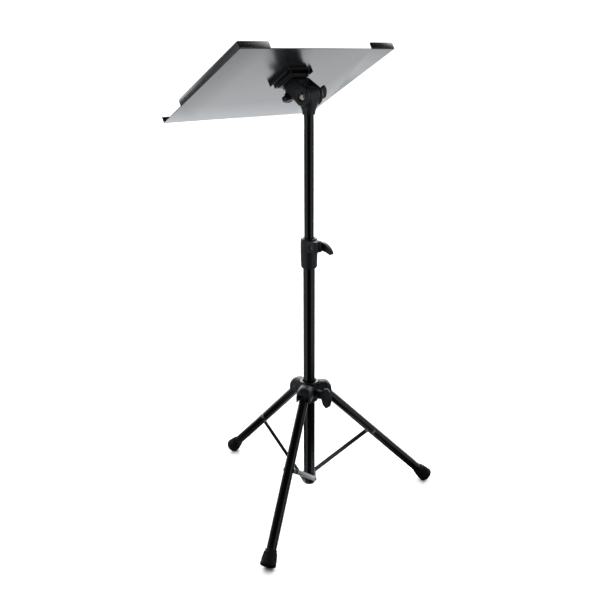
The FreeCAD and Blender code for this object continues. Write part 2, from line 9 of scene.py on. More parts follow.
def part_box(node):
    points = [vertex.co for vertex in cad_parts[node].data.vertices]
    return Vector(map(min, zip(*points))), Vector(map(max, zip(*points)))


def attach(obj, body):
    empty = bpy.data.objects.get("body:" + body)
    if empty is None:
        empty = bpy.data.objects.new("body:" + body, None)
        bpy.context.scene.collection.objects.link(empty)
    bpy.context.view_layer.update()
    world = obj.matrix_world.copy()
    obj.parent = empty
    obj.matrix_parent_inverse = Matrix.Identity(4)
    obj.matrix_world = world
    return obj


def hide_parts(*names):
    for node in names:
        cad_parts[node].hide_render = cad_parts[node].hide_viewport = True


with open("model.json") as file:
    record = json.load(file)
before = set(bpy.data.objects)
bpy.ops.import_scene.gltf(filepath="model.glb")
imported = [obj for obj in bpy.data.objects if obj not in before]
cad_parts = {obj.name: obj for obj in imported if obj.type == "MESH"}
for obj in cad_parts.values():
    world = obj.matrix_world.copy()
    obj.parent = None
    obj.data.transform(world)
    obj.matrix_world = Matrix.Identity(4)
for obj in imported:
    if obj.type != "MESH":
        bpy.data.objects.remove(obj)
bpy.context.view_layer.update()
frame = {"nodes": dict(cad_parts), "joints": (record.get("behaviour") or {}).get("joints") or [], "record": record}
nodes = frame["nodes"]
joints = {joint["name"]: joint for joint in frame["joints"]}
bodyOf = {node: body for body, members in frame["record"]["behaviour"]["bodies"].items() for node in members}
legs = {"rear_right": 30, "rear_left": 150, "front": 270}   # azimuth of each leg, degrees
mm = 0.001
crease = 38   # degrees between faces past which shading stays sharp
print("frame loaded:", len(nodes), "nodes")


# shader building

class Signal:
    # a shader socket that joins in arithmetic; each operator adds a Math node
    def __init__(self, paint, socket):
        self.paint = paint
        self.socket = socket

    def maths(self, operation, first, second):
        return self.paint.node("ShaderNodeMath", {"operation": operation}, {0: first, 1: second})

    def __add__(self, other):
        return self.maths("ADD", self, other)

    def __radd__(self, other):
        return self.maths("ADD", other, self)

    def __sub__(self, other):
        return self.maths("SUBTRACT", self, other)

    def __rsub__(self, other):
        return self.maths("SUBTRACT", other, self)

    def __mul__(self, other):
        return self.maths("MULTIPLY", self, other)

    def __rmul__(self, other):
        return self.maths("MULTIPLY", other, self)


class Paint:
    # a material with one principled shader; fixed values go straight on its sockets
    def __init__(self, name, fixed):
        self.material = bpy.data.materials.new(name)
        self.material.use_nodes = True
        self.tree = self.material.node_tree
        self.shader = self.tree.nodes["Principled BSDF"]
        for socket, value in fixed.items():
            self.shader.inputs[socket].default_value = value

    def feed(self, target, value):
        if isinstance(value, Signal):
            self.tree.links.new(value.socket, target)
        else:
            target.default_value = value

    def node(self, kind, settings, sockets, output=0):
        made = self.tree.nodes.new(kind)
        for key, value in settings.items():
            if key == "stops":
                ramp = made.color_ramp
                for element, (position, colour) in zip(ramp.elements, value):
                    element.position = position
                    element.color = colour
            else:
                setattr(made, key, value)
        for key, value in sockets.items():
            self.feed(made.inputs[key], value)
        return Signal(self, made.outputs[output])

    def place(self, scale=(1, 1, 1), turn=(0, 0, 0)):
        where = self.node("ShaderNodeTexCoord", {}, {}, "Object")
        return self.node("ShaderNodeMapping", {}, {"Vector": where, "Scale": scale, "Rotation": turn})

    def noise(self, scale, detail=3, roughness=0.55, where=None):
        return self.node("ShaderNodeTexNoise", {}, {"Vector": where or self.place(), "Scale": scale,
                                                    "Detail": detail, "Roughness": roughness})

    def between(self, value, low, high):
        # 0 at low, 1 at high, smooth and held outside
        return self.node("ShaderNodeMapRange", {"interpolation_type": "SMOOTHSTEP"},
                         {"Value": value, "From Min": low, "From Max": high})

    def blend(self, factor, first, second):
        return self.node("ShaderNodeMix", {"data_type": "RGBA"},
                         {0: factor, 6: (*first, 1) if isinstance(first, tuple) else first,
                          7: (*second, 1) if isinstance(second, tuple) else second}, 2)

    def dot(self, first, second):
        return self.node("ShaderNodeVectorMath", {"operation": "DOT_PRODUCT"}, {0: first, 1: second}, 1)

    def height(self):
        return self.node("ShaderNodeSeparateXYZ", {}, {0: self.node("ShaderNodeTexCoord", {}, {}, "Object")}, 2)

    def edges(self):
        return self.node("ShaderNodeAttribute", {"attribute_name": "edge"}, {}, "Fac")

    def relief(self, height, strength, depth):
        bump = self.node("ShaderNodeBump", {}, {"Height": height, "Strength": strength, "Distance": depth})
        self.feed(self.shader.inputs["Normal"], bump)

    def surface(self, colour, roughness):
        self.feed(self.shader.inputs["Base Color"], colour)
        self.feed(self.shader.inputs["Roughness"], roughness)
        return self.material


def shade(colour, factor):
    return tuple(channel * factor for channel in colour)


powder = {"tone": (0.0085, 0.0090, 0.0098), "worn": (0.030, 0.031, 0.033), "rough": 0.31, "grain": 820,
          "depth": 0.00012}


def powderCoat(name, tone=powder["tone"], rough=powder["rough"], coat=0.0, rubbed=0.0):
    # satin powder coat: orange-peel skin, cloudy tone, paler worn edges, fine dust
    paint = Paint(name, {"Coat Weight": coat, "Coat Roughness": 0.22, "IOR": 1.5})
    cloud = paint.noise(14, 4)
    peel = paint.noise(powder["grain"], 2)
    coarse = paint.noise(powder["grain"] * 0.28, 2)
    dust = paint.between(paint.noise(2600, 1), 0.66, 0.74)
    colour = paint.blend(paint.between(cloud, 0.3, 0.7), shade(tone, 0.8), shade(tone, 1.25))
    colour = paint.blend(paint.edges() * paint.between(paint.noise(240, 3), 0.35, 0.7) * 0.7, colour, powder["worn"])
    colour = paint.blend(dust * 0.35, colour, (0.035, 0.035, 0.034))
    roughness = rough + 0.07 * cloud + 0.05 * peel
    if rubbed:
        lines = paint.noise(9, 3, 0.6, paint.place((60, 60, 0.6)))
        roughness = roughness - rubbed * paint.between(lines, 0.52, 0.7)
    paint.relief(peel + 1.6 * coarse, 0.35, powder["depth"])
    return paint.surface(colour, roughness)


plastic = {"tone": (0.0175, 0.0195, 0.0215), "rough": 0.40, "texture": 1300, "depth": 0.00010}


def mouldedPlastic(name, tone=plastic["tone"], rough=plastic["rough"]):
    # glass-filled nylon: spark-eroded skin, faint flow marks, shinier corners that also carry a painted highlight in
    # lighter colour
    paint = Paint(name, {"IOR": 1.52, "Specular IOR Level": 0.5})
    skin = paint.node("ShaderNodeTexVoronoi", {"feature": "SMOOTH_F1"},
                      {"Vector": paint.place(), "Scale": plastic["texture"]})
    grain = paint.noise(plastic["texture"] * 0.6, 3)
    flow = paint.noise(16, 4, 0.6, paint.place((1, 1, 3.5), (0.3, 0.5, 0)))
    colour = paint.blend(paint.between(flow, 0.3, 0.72), shade(tone, 0.78), shade(tone, 1.22))
    # painted highlight: corners lightened in colour where light would catch them
    colour = paint.blend(paint.edges() * paint.between(paint.noise(160, 3), 0.3, 0.75) * 0.5, colour, shade(tone, 2.2))
    roughness = rough + 0.10 * grain + 0.06 * flow - 0.10 * paint.edges()
    paint.relief(0.5 * skin + grain, 0.3, plastic["depth"])
    return paint.surface(colour, roughness)


rubber = {"tone": (0.012, 0.012, 0.0125), "dust": (0.085, 0.080, 0.074), "rough": 0.66}


def footRubber(name):
    # moulded rubber, dusty where it meets the floor
    paint = Paint(name, {"IOR": 1.45, "Specular IOR Level": 0.4})
    grain = paint.noise(900, 3)
    patches = paint.noise(60, 4)
    low = 1 - paint.between(paint.height(), 0.001, 0.016)
    colour = paint.blend(patches, shade(rubber["tone"], 0.8), shade(rubber["tone"], 1.3))
    colour = paint.blend(low * paint.between(patches, 0.45, 0.75) * 0.55, colour, rubber["dust"])
    colour = paint.blend(paint.edges() * 0.25, colour, (0.03, 0.03, 0.03))
    paint.relief(grain + 0.5 * patches, 0.4, 0.00012)
    return paint.surface(colour, rubber["rough"] + 0.16 * grain + 0.08 * low)


def platedSteel(name, tone, rough, scratches=0.12):
    # bright plated metal with fine random scratches and duller pits
    paint = Paint(name, {"Metallic": 1.0})
    cloud = paint.noise(90, 4)
    lines = paint.noise(40, 2, 0.5, paint.place((30, 4, 30), (0.4, 0.2, 0.7)))
    pits = paint.between(paint.noise(1800, 2), 0.62, 0.75)
    colour = paint.blend(paint.between(cloud, 0.3, 0.7), shade(tone, 0.86), shade(tone, 1.08))
    colour = paint.blend(pits * 0.5, colour, shade(tone, 0.35))
    paint.relief(lines + pits, 0.25, 0.00008)
    return paint.surface(colour, rough + scratches * paint.between(lines, 0.45, 0.6) + 0.08 * cloud)


finishes = {
    "lower_tube": powderCoat("powderLowerTube", (0.0025, 0.0028, 0.0031), 0.16),
    "inner_tube": powderCoat("powderInnerTube", (0.0025, 0.0028, 0.0031), 0.16, rubbed=0.06),
    "leg_tube": powderCoat("powderLegs", (0.0025, 0.0028, 0.0031), 0.16),
    "strap": powderCoat("enamelStrap", (0.006, 0.0063, 0.0067), 0.22, 0.8),
    "plate": powderCoat("powderHeadPlate", rough=0.36),
    "desk_sheet": powderCoat("deskEnamel", (0.011, 0.012, 0.013), 0.20, 1.0),
    "hub": mouldedPlastic("nylonHub", (0.020, 0.0228, 0.0252), 0.46),
    "ring": mouldedPlastic("nylonRing", (0.013, 0.0145, 0.016), 0.24),
    "collar": mouldedPlastic("nylonCollar", (0.0135, 0.016, 0.018), 0.42),
    "lever": mouldedPlastic("nylonLever", (0.012, 0.014, 0.0155), 0.36),
    "head": mouldedPlastic("nylonHead", (0.0175, 0.0195, 0.022), 0.36),
    "knob": mouldedPlastic("nylonKnob", (0.015, 0.016, 0.0175), 0.38),
    "leg_top": mouldedPlastic("nylonLegTop", (0.015, 0.0165, 0.018), 0.34),
    "plug": mouldedPlastic("nylonPlug", (0.010, 0.0105, 0.011), 0.38),
    "foot": footRubber("rubberFoot"),
    "nickel": platedSteel("nickelPlate", (0.62, 0.57, 0.50), 0.22),
    "rivet": platedSteel("rivetSteel", (0.33, 0.33, 0.34), 0.34),
    "dark": platedSteel("blackedSteel", (0.10, 0.10, 0.105), 0.38),
    "thread": platedSteel("threadSteel", (0.42, 0.42, 0.43), 0.30, 0.2),
}
print("finishes made:", len(finishes))


# mesh building

def meshObject(name, shape):
    mesh = bpy.data.meshes.new(name)
    shape.to_mesh(mesh)
    shape.free()
    made = bpy.data.objects.new(name, mesh)
    bpy.context.scene.collection.objects.link(made)
    return made


def settle(made, smoothBelow=crease):
    # modifiers become plain mesh; smooth shading with sharp creases; the edge attribute marks rounded corners
    bpy.context.view_layer.update()
    graph = bpy.context.evaluated_depsgraph_get()
    mesh = bpy.data.meshes.new_from_object(made.evaluated_get(graph))
    made.modifiers.clear()
    made.data = mesh
    shape = bmesh.new()
    shape.from_mesh(mesh)
    layer = shape.verts.layers.float.get("edge") or shape.verts.layers.float.new("edge")
    for vert in shape.verts:
        angles = [edge.calc_face_angle(0) for edge in vert.link_edges if len(edge.link_faces) == 2]
        vert[layer] = min(1.0, max(0.0, (max(angles, default=0) - 0.20) / 0.30))
    shape.to_mesh(mesh)
    shape.free()
    mesh.shade_smooth()
    mesh.set_sharp_from_angle(angle=math.radians(smoothBelow))
    return made


def rounded(made, width, segments=3, angle=28):
    bevel = made.modifiers.new("softEdges", "BEVEL")
    bevel.width = width
    bevel.segments = segments
    bevel.limit_method = "ANGLE"
    bevel.angle_limit = math.radians(angle)
    bevel.use_clamp_overlap = False
    bevel.miter_outer = "MITER_ARC"
    return made


def wear(made, finish, standsFor):
    # finish, ride and the CAD nodes that the piece stands for
    made.data.materials.clear()
    made.data.materials.append(finishes[finish])
    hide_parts(*standsFor)
    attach(made, bodyOf[standsFor[0]])
    return made


def copyOf(node):
    # merged copy of a CAD node, flat areas joined up
    shape = bmesh.new()
    shape.from_mesh(nodes[node].data)
    bmesh.ops.remove_doubles(shape, verts=shape.verts, dist=2e-6)
    bmesh.ops.dissolve_limit(shape, angle_limit=math.radians(0.4), verts=shape.verts, edges=shape.edges)
    return shape


def softened(node, finish, width):
    # a CAD node with its edges rounded
    shape = copyOf(node)
    skin = BVHTree.FromBMesh(shape)
    made = meshObject(node + "_soft", shape)
    rounded(made, width)
    settle(made)
    # a bevel corner that ran away goes back to the surface
    for vert in made.data.vertices:
        near, _, _, gap = skin.find_nearest(vert.co)
        if gap > 0.5 * width:
            vert.co = near
    return wear(made, finish, [node])


def lathe(name, profile, placing, segments=64):
    # closed turned piece from (radius, height) points; points on the axis become poles
    shape = bmesh.new()
    rings = []
    for radius, height in profile:
        if radius < 1e-7:
            rings.append([shape.verts.new((0, 0, height))])
        else:
            steps = [2 * math.pi * i / segments for i in range(segments)]
            rings.append([shape.verts.new((radius * math.cos(a), radius * math.sin(a), height)) for a in steps])
    loops = list(zip(rings, rings[1:]))
    if len(rings[0]) > 1:
        loops.append((rings[-1], rings[0]))
    for low, high in loops:
        for i in range(segments):
            j = (i + 1) % segments
            corners = []
            for vert in (low[i % len(low)], low[j % len(low)], high[j % len(high)], high[i % len(high)]):
                if vert not in corners:
                    corners.append(vert)
            if len(corners) > 2:
                shape.faces.new(corners)
    bmesh.ops.recalc_face_normals(shape, faces=shape.faces)
    shape.transform(placing)
    return settle(meshObject(name, shape))


def along(start, direction, roll=0):
    # matrix that carries +Z from the origin to a direction at a place
    turn = Vector(direction).to_track_quat("Z", "Y").to_matrix().to_4x4()
    return Matrix.Translation(start) @ turn @ Matrix.Rotation(roll, 4, "Z")


def arcPoints(centre, radius, first, last, steps):
    angles = [math.radians(first + (last - first) * i / steps) for i in range(steps + 1)]
    return [(centre[0] + radius * math.cos(a), centre[1] + radius * math.sin(a)) for a in angles]


def joinedPieces(name, parts):
    shape = bmesh.new()
    for part in parts:
        shape.from_mesh(part.data)
        bpy.data.objects.remove(part)
    made = meshObject(name, shape)
    made.data.shade_smooth()
    made.data.set_sharp_from_angle(angle=math.radians(crease))
    return made


# repeated details by geometry nodes

def newTree(name, inputs):
    # a tree with named inputs, its adder of nodes and its input sockets
    tree = bpy.data.node_groups.new(name, "GeometryNodeTree")
    tree.interface.new_socket("Geometry", in_out="OUTPUT", socket_type="NodeSocketGeometry")
    for label, kind in inputs:
        tree.interface.new_socket(label, in_out="INPUT", socket_type="NodeSocket" + kind)

    def add(kind, links, **settings):
        made = tree.nodes.new(kind)
        for key, value in settings.items():
            setattr(made, key, value)
        for key, value in links.items():
            if isinstance(value, bpy.types.NodeSocket):
                tree.links.new(value, made.inputs[key])
            else:
                made.inputs[key].default_value = value
        return made

    return tree, add, tree.nodes.new("NodeGroupInput").outputs


def finished(tree, add, given, geometry):
    # every tree ends in real geometry with its material
    real = add("GeometryNodeRealizeInstances", {"Geometry": geometry})
    coated = add("GeometryNodeSetMaterial", {"Geometry": real.outputs[0], "Material": given["Finish"]})
    tree.links.new(coated.outputs[0], tree.nodes.new("NodeGroupOutput").inputs[0])
    return tree


def ribsTree():
    # round bars spaced about +Z
    tree, add, given = newTree("ribsAroundAxis", [("Count", "Int"), ("Start", "Vector"), ("End", "Vector"),
                                                  ("Thickness", "Float"), ("Finish", "Material")])
    points = add("GeometryNodePoints", {"Count": given["Count"]})
    line = add("GeometryNodeCurvePrimitiveLine", {"Start": given["Start"], "End": given["End"]})
    spaced = add("GeometryNodeResampleCurve", {"Curve": line.outputs[0], "Count": 7})
    share = add("GeometryNodeSplineParameter", {})
    bow = add("ShaderNodeMath", {0: share.outputs["Factor"], 1: 0.5}, operation="SUBTRACT")
    square = add("ShaderNodeMath", {0: bow.outputs[0], 1: bow.outputs[0]}, operation="MULTIPLY")
    taper = add("ShaderNodeMath", {0: square.outputs[0], 1: -3.2, 2: 1.0}, operation="MULTIPLY_ADD")
    thin = add("GeometryNodeSetCurveRadius", {"Curve": spaced.outputs[0], "Radius": taper.outputs[0]})
    ring = add("GeometryNodeCurvePrimitiveCircle", {"Resolution": 10, "Radius": given["Thickness"]})
    bar = add("GeometryNodeCurveToMesh", {"Curve": thin.outputs[0], "Profile Curve": ring.outputs[0],
                                          "Fill Caps": True})
    index = add("GeometryNodeInputIndex", {})
    step = add("ShaderNodeMath", {0: index.outputs[0], 1: 2 * math.pi}, operation="MULTIPLY")
    angle = add("ShaderNodeMath", {0: step.outputs[0], 1: given["Count"]}, operation="DIVIDE")
    turn = add("ShaderNodeCombineXYZ", {"Z": angle.outputs[0]})
    copies = add("GeometryNodeInstanceOnPoints", {"Points": points.outputs[0], "Instance": bar.outputs[0],
                                                  "Rotation": turn.outputs[0]})
    return finished(tree, add, given, copies.outputs[0])


def copiesTree():
    # one detail repeated on the vertices of the carrier mesh
    tree, add, given = newTree("detailOnPlaces", [("Geometry", "Geometry"), ("Detail", "Object"), ("Turn", "Vector"),
                                                  ("Spin step", "Float"), ("Finish", "Material")])
    source = add("GeometryNodeObjectInfo", {"Object": given["Detail"]})
    index = add("GeometryNodeInputIndex", {})
    spin = add("ShaderNodeMath", {0: index.outputs[0], 1: given["Spin step"]}, operation="MULTIPLY")
    own = add("ShaderNodeCombineXYZ", {"Z": spin.outputs[0]})
    copies = add("GeometryNodeInstanceOnPoints", {"Points": given["Geometry"], "Instance": source.outputs["Geometry"],
                                                  "Rotation": given["Turn"]})
    turned = add("GeometryNodeRotateInstances", {"Instances": copies.outputs[0], "Rotation": own.outputs[0]})
    return finished(tree, add, given, turned.outputs[0])


def grown(name, tree, inputs, mesh=None):
    # run a tree on a carrier and keep the result as plain mesh
    made = bpy.data.objects.new(name, mesh or bpy.data.meshes.new(name))
    bpy.context.scene.collection.objects.link(made)
    growth = made.modifiers.new("growth", "NODES")
    growth.node_group = tree
    for item in tree.interface.items_tree:
        if item.in_out == "INPUT" and item.name in inputs:
            growth[item.identifier] = inputs[item.name]
    return settle(made)


ribsAround = ribsTree()
detailOnPlaces = copiesTree()


def ribs(name, count, start, end, thickness, finish, placing):
    made = grown(name, ribsAround, {"Count": count, "Start": start, "End": end, "Thickness": thickness,
                                    "Finish": finishes[finish]})
    made.data.transform(placing)
    return made


def repeated(name, detail, places, turn, finish, spinStep=0.7):
    carrier = bpy.data.meshes.new(name)
    carrier.from_pydata(places, [], [])
    made = grown(name, detailOnPlaces, {"Detail": detail, "Turn": turn, "Spin step": spinStep,
                                        "Finish": finishes[finish]}, carrier)
    bpy.data.objects.remove(detail)
    return made


print("builders ready")


# mast and clamp

mast = {"bottom": 70, "top": 738, "radius": 15.9, "wall": 1.5, "innerRadius": 12.7, "innerBottom": 490,
        "innerTop": 1107, "lip": 0.35}


def tube(name, low, high, outer, wall, placing, finish, node):
    lip = mast["lip"]
    inner = outer - wall
    profile = [(inner, low + lip), (inner + lip, low), (outer - lip, low), (outer, low + lip)]
    profile += [(outer, low + (high - low) * i / 6) for i in range(1, 6)]
    profile += [(outer, high - lip), (outer - lip, high), (inner + lip, high), (inner, high - lip)]
    made = lathe(name, [(r * mm, h * mm) for r, h in profile], placing, 72)
    return wear(made, finish, [node])


upright = Matrix.Identity(4)
tube("lowerTube", mast["bottom"], mast["top"], mast["radius"], mast["wall"], upright, "lower_tube",
     "lower_tube")
tube("innerTube", mast["innerBottom"], mast["innerTop"], mast["innerRadius"], mast["wall"], upright, "inner_tube",
     "inner_tube")
softened("mast_plug", "plug", 1.2 * mm)
softened("clamp_collar", "collar", 1.1 * mm)
softened("collar_bush", "plug", 0.3 * mm)
softened("guide_bush", "plug", 0.5 * mm)

clamp = {"boltY": 25, "boltZ": 744, "headX": 16, "headRadius": 7.5, "shank": 4, "far": -27}


def buttonHead(radius, height, base=0):
    # domed head with a small flat rim, closed on the axis at the top
    ball = (radius * radius + height * height) / (2 * height)
    reach = math.degrees(math.asin(radius / ball))
    arc = arcPoints((0, base + height - ball), ball, 90 - reach, 90, 9)
    return [(radius - 0.25, base), (radius, base + 0.25)] + [(r, h) for r, h in arc[1:-1]] + [(0, base + height)]


def turnedPin(name, profile, place, direction, segments=48):
    return lathe(name, [(r * mm, h * mm) for r, h in profile], along(Vector(place) * mm, direction), segments)


bolt = turnedPin("clampBolt", [(0, 0), (clamp["shank"], 0.3), (clamp["shank"], clamp["headX"] - clamp["far"])]
                 + buttonHead(clamp["headRadius"], 2.6, clamp["headX"] - clamp["far"]),
                 (clamp["far"], clamp["boltY"], clamp["boltZ"]), (1, 0, 0))
wear(bolt, "dark", ["clamp_bolt"])


lever = {"inner": -14.4, "thick": 11, "rim": 2.4, "web": 1.3, "bore": 4.1, "boss": 8.8,
         "arcs": [[(0, 11), (27, 4), (41, -12)], [(41, -12), (40, -16), (34, -17)],
                  [(34, -17), (18, -12.6), (0, -11.2)], [(0, -11.2), (-11.5, 0), (0, 11)]]}


def throughThree(a, b, c, steps):
    # arc from a to c by way of b, without its last point
    (ax, ay), (bx, by), (cx, cy) = a, b, c
    d = 2 * (ax * (by - cy) + bx * (cy - ay) + cx * (ay - by))
    a2, b2, c2 = ax * ax + ay * ay, bx * bx + by * by, cx * cx + cy * cy
    ux = (a2 * (by - cy) + b2 * (cy - ay) + c2 * (ay - by)) / d
    uy = (a2 * (cx - bx) + b2 * (ax - cx) + c2 * (bx - ax)) / d
    radius = math.hypot(ax - ux, ay - uy)
    first, middle, last = (math.atan2(y - uy, x - ux) for x, y in (a, b, c))
    turn = (last - first) % (2 * math.pi)
    if (middle - first) % (2 * math.pi) > turn:
        turn -= 2 * math.pi
    return [(ux + radius * math.cos(first + turn * i / steps), uy + radius * math.sin(first + turn * i / steps))
            for i in range(steps)]


def makeLever():
    outline = [point for arc in lever["arcs"] for point in throughThree(*arc, 14)]
    bolt = Vector((0, clamp["boltY"], clamp["boltZ"]))
    inner, outer = lever["inner"], lever["inner"] - lever["thick"]
    shape = bmesh.new()
    rings = [[shape.verts.new((bolt + Vector((x, y, z))) * mm) for y, z in outline] for x in (inner, outer)]
    count = len(outline)
    for i in range(count):
        k = (i + 1) % count
        shape.faces.new((rings[0][i], rings[0][k], rings[1][k], rings[1][i]))
    broad = [shape.faces.new(rings[0][::-1]), shape.faces.new(rings[1])]
    bmesh.ops.recalc_face_normals(shape, faces=shape.faces)
    # the outer face is sunk a little inside its rim
    bmesh.ops.inset_region(shape, faces=[broad[1]], thickness=lever["rim"] * mm, use_even_offset=True)
    for vert in broad[1].verts:
        vert.co.x += lever["web"] * mm
    blade = settle(rounded(meshObject("leverBlade", shape), 0.8 * mm, 4, 50))
    reach = outer - 3
    boss = turnedPin("leverBoss", [(lever["bore"], inner - outer - 1), (lever["bore"], 0), (lever["boss"] - 0.9, 0)]
                     + arcPoints((lever["boss"] - 0.9, 0.9), 0.9, -80, 0, 4) + [(lever["boss"], 5)],
                     (reach, clamp["boltY"], clamp["boltZ"]), (1, 0, 0))
    wear(joinedPieces("leverMade", [blade, boss]), "lever", ["clamp_lever"])


makeLever()
print("mast and clamp made")


# hub

hub = {"bottom": 302, "top": 350, "bore": 16.2, "liner": 17.8, "ringTop": 361, "ringHole": 18.6}
softened("hub", "hub", 1.5 * mm)
linerProfile = [(hub["bore"], hub["bottom"] + 0.4), (hub["bore"] + 0.4, hub["bottom"]), (hub["liner"], hub["bottom"]),
                (hub["liner"], hub["top"]), (24.4, hub["top"])]
linerProfile += arcPoints((24.2, hub["top"] + 1.8), 1.8, -80, 0, 4)
linerProfile += arcPoints((22.8, hub["ringTop"] - 3.2), 3.2, 0, 90, 7)
linerProfile += arcPoints((20.9, hub["ringTop"] - 2.3), 2.3, 95, 180, 6)
linerProfile += [(hub["ringHole"], hub["top"] + 3), (hub["bore"], hub["top"] + 3)]
liner = lathe("hubRing", [(r * mm, h * mm) for r, h in linerProfile], upright, 96)
wear(liner, "ring", ["hub_liner"])

pinHalf = [(4, 19.5), (6.5, 19.6), (6.1, 20.1), (4.4, 21.3), (2.4, 22), (0, 22)]
pinProfile = [(r, -h) for r, h in reversed(pinHalf)] + pinHalf
pins = []
for place in legs:
    hinge = joints["leg_fold_" + place]
    pins.append(turnedPin("pin" + place, pinProfile, Vector(hinge["pos_m"]) / mm, hinge["axis"]))
wear(joinedPieces("legPins", pins), "dark", ["leg_pins"])

softened("hub_knob", "knob", 1.6 * mm)


def threaded(name, start, direction, length, radius, pitch, node, finish="thread"):
    profile = [(0, 0), (radius - 1.0, 0)]
    turns = int(length / pitch) - 1
    for i in range(turns):
        h = (i + 0.5) * pitch
        profile += [(radius - 0.5, h), (radius, h + 0.35 * pitch), (radius, h + 0.5 * pitch),
                    (radius - 0.5, h + 0.85 * pitch)]
    profile += [(radius - 0.6, length), (0, length)]
    made = lathe(name, [(r * mm, h * mm) for r, h in profile], along(Vector(start) * mm, direction), 32)
    return wear(made, finish, [node])


knobJoint = joints["hub_knob_turn"]
threaded("hubScrew", (0, 16.2, knobJoint["pos_m"][2] / mm), (0, 1, 0), 50.6, 3.9, 1.4, "hub_screw")
print("hub made")


# legs, feet and straps

leg = {"angle": 44.8, "length": 457.0, "outer": 12.7, "wall": 1.5, "from": 18, "tubeEnd": 6}
footSize = {"height": 42, "neck": 15.2, "flare": 19.3, "sole": 20.5, "edge": 6, "crown": 1.8, "ribs": 18, "rib": 1.4}
rivetHead = (5.5, 2.2)   # radius and height
strapSize = {"width": 13, "thick": 3, "near": 13.0, "far": 16.6, "bend": (12.5, 21)}


def legFrame(place):
    # +Z down the leg from its hinge, +Y to the strap's side
    a = math.radians(legs[place])
    tilt = math.radians(leg["angle"])
    z = Vector((math.cos(a) * math.cos(tilt), math.sin(a) * math.cos(tilt), -math.sin(tilt)))
    y = Vector((-math.sin(a), math.cos(a), 0))
    turn = Matrix((y.cross(z), y, z)).transposed().to_4x4()
    return Matrix.Translation(joints["leg_fold_" + place]["pos_m"]) @ turn


def makeFoot(place, placing):
    s = leg["length"] - footSize["height"]
    end = leg["length"]
    neck, flare, sole, edge, crown = (footSize[key] for key in ("neck", "flare", "sole", "edge", "crown"))
    profile = [(12.75, s + 0.3), (13.0, s), (neck - 0.7, s)]
    profile += arcPoints((neck - 0.5, s + 0.8), 0.8, -70, 20, 4)
    profile += [(neck + 0.25, s + 3.4), (neck - 0.35, s + 4.1), (neck - 0.3, s + 4.9), (neck + 0.35, s + 5.6),
                (flare - 0.4, end - 13.5), (flare + 0.1, end - 12.6), (flare + 0.3, end - 11), (sole - 0.1, end - 7.5)]
    profile += arcPoints((sole - edge, end - edge), edge, 0, 84, 8)
    profile += [(12.6, end + 0.05), (12.2, end - 0.7), (11.4, end - 0.7), (11.0, end + 0.3), (8.4, end + 0.9),
                (8.0, end + 0.2), (7.2, end + 0.2), (6.8, end + 1.2), (3.4, end + crown), (0, end + crown + 0.1)]
    profile = [(0, end - 5.9), (12.75, end - 5.9)] + profile
    cap = lathe("cap" + place, [(r * mm, h * mm) for r, h in profile], placing, 88)
    bars = ribs("bars" + place, footSize["ribs"], ((neck + 0.55) * mm, 0, (s + 6.5) * mm),
                ((flare - 0.45) * mm, 0, (end - 14) * mm), footSize["rib"] * mm, "foot", placing)
    made = joinedPieces("foot_" + place + "_rubber", [cap, bars])
    # flat patch where the edge rests on the floor
    shape = bmesh.new()
    shape.from_mesh(made.data)
    geometry = shape.verts[:] + shape.edges[:] + shape.faces[:]
    cut = bmesh.ops.bisect_plane(shape, geom=geometry, plane_co=(0, 0, 0), plane_no=(0, 0, -1), clear_outer=True)
    rim = [item for item in cut["geom_cut"] if isinstance(item, bmesh.types.BMEdge)]
    bmesh.ops.holes_fill(shape, edges=rim)
    shape.to_mesh(made.data)
    shape.free()
    made.data.set_sharp_from_angle(angle=math.radians(crease))
    return wear(made, "foot", ["foot_" + place])


def makeStrap(place):
    upper = Vector(joints["strap_turn_" + place]["pos_m"])
    side = Vector(joints["strap_turn_" + place]["axis"])
    low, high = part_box("plug_rivet_" + place)
    lower = (low + high) / 2
    lower = lower - side * (lower - upper).dot(side)
    x = (lower - upper).normalized()
    length = (lower - upper).length / mm
    placing = Matrix.Translation(upper) @ Matrix((x, side, x.cross(side))).transposed().to_4x4()
    half = strapSize["width"] / 2
    first, last = strapSize["bend"]
    turnIn = [-half * math.cos(math.radians(4 + i * 86 / 9)) for i in range(10)]
    stations = turnIn + [4, 9, first] + [first + (last - first) * i / 8 for i in range(1, 8)] + [last, last + 6]
    stations += [last + 6 + (length - last - 6) * i / 8 for i in range(1, 9)]
    stations += [length - x0 for x0 in reversed(turnIn[:-1])]
    shape = bmesh.new()
    loops = []
    for u in stations:
        over = max(0, -u, u - length)
        w = math.sqrt(max(0.05, half * half - over * over))
        t = min(1, max(0, (u - first) / (last - first)))
        inner = strapSize["near"] + (strapSize["far"] - strapSize["near"]) * t * t * (3 - 2 * t)
        outer = inner + strapSize["thick"]
        section = ((u, inner, -w), (u, inner, w), (u, outer, w), (u, outer, -w))
        loops.append([shape.verts.new(Vector(corner) * mm) for corner in section])
    for a, b in zip(loops, loops[1:]):
        for i in range(4):
            j = (i + 1) % 4
            shape.faces.new((a[i], a[j], b[j], b[i]))
    shape.faces.new(loops[0])
    shape.faces.new(loops[-1])
    bmesh.ops.recalc_face_normals(shape, faces=shape.faces)
    shape.transform(placing)
    made = rounded(meshObject("strap_" + place + "_bar", shape), 0.55 * mm, 3, 50)
    wear(settle(made), "strap", ["strap_" + place])
    rivet = [(0, 16.6), (2.6, 16.6), (3, 17), (3, 19.6)] + buttonHead(*rivetHead, 19.6)
    pin = lathe("plugRivet" + place, [(r * mm, h * mm) for r, h in rivet], along(lower, side), 40)
    wear(pin, "rivet", ["plug_rivet_" + place])


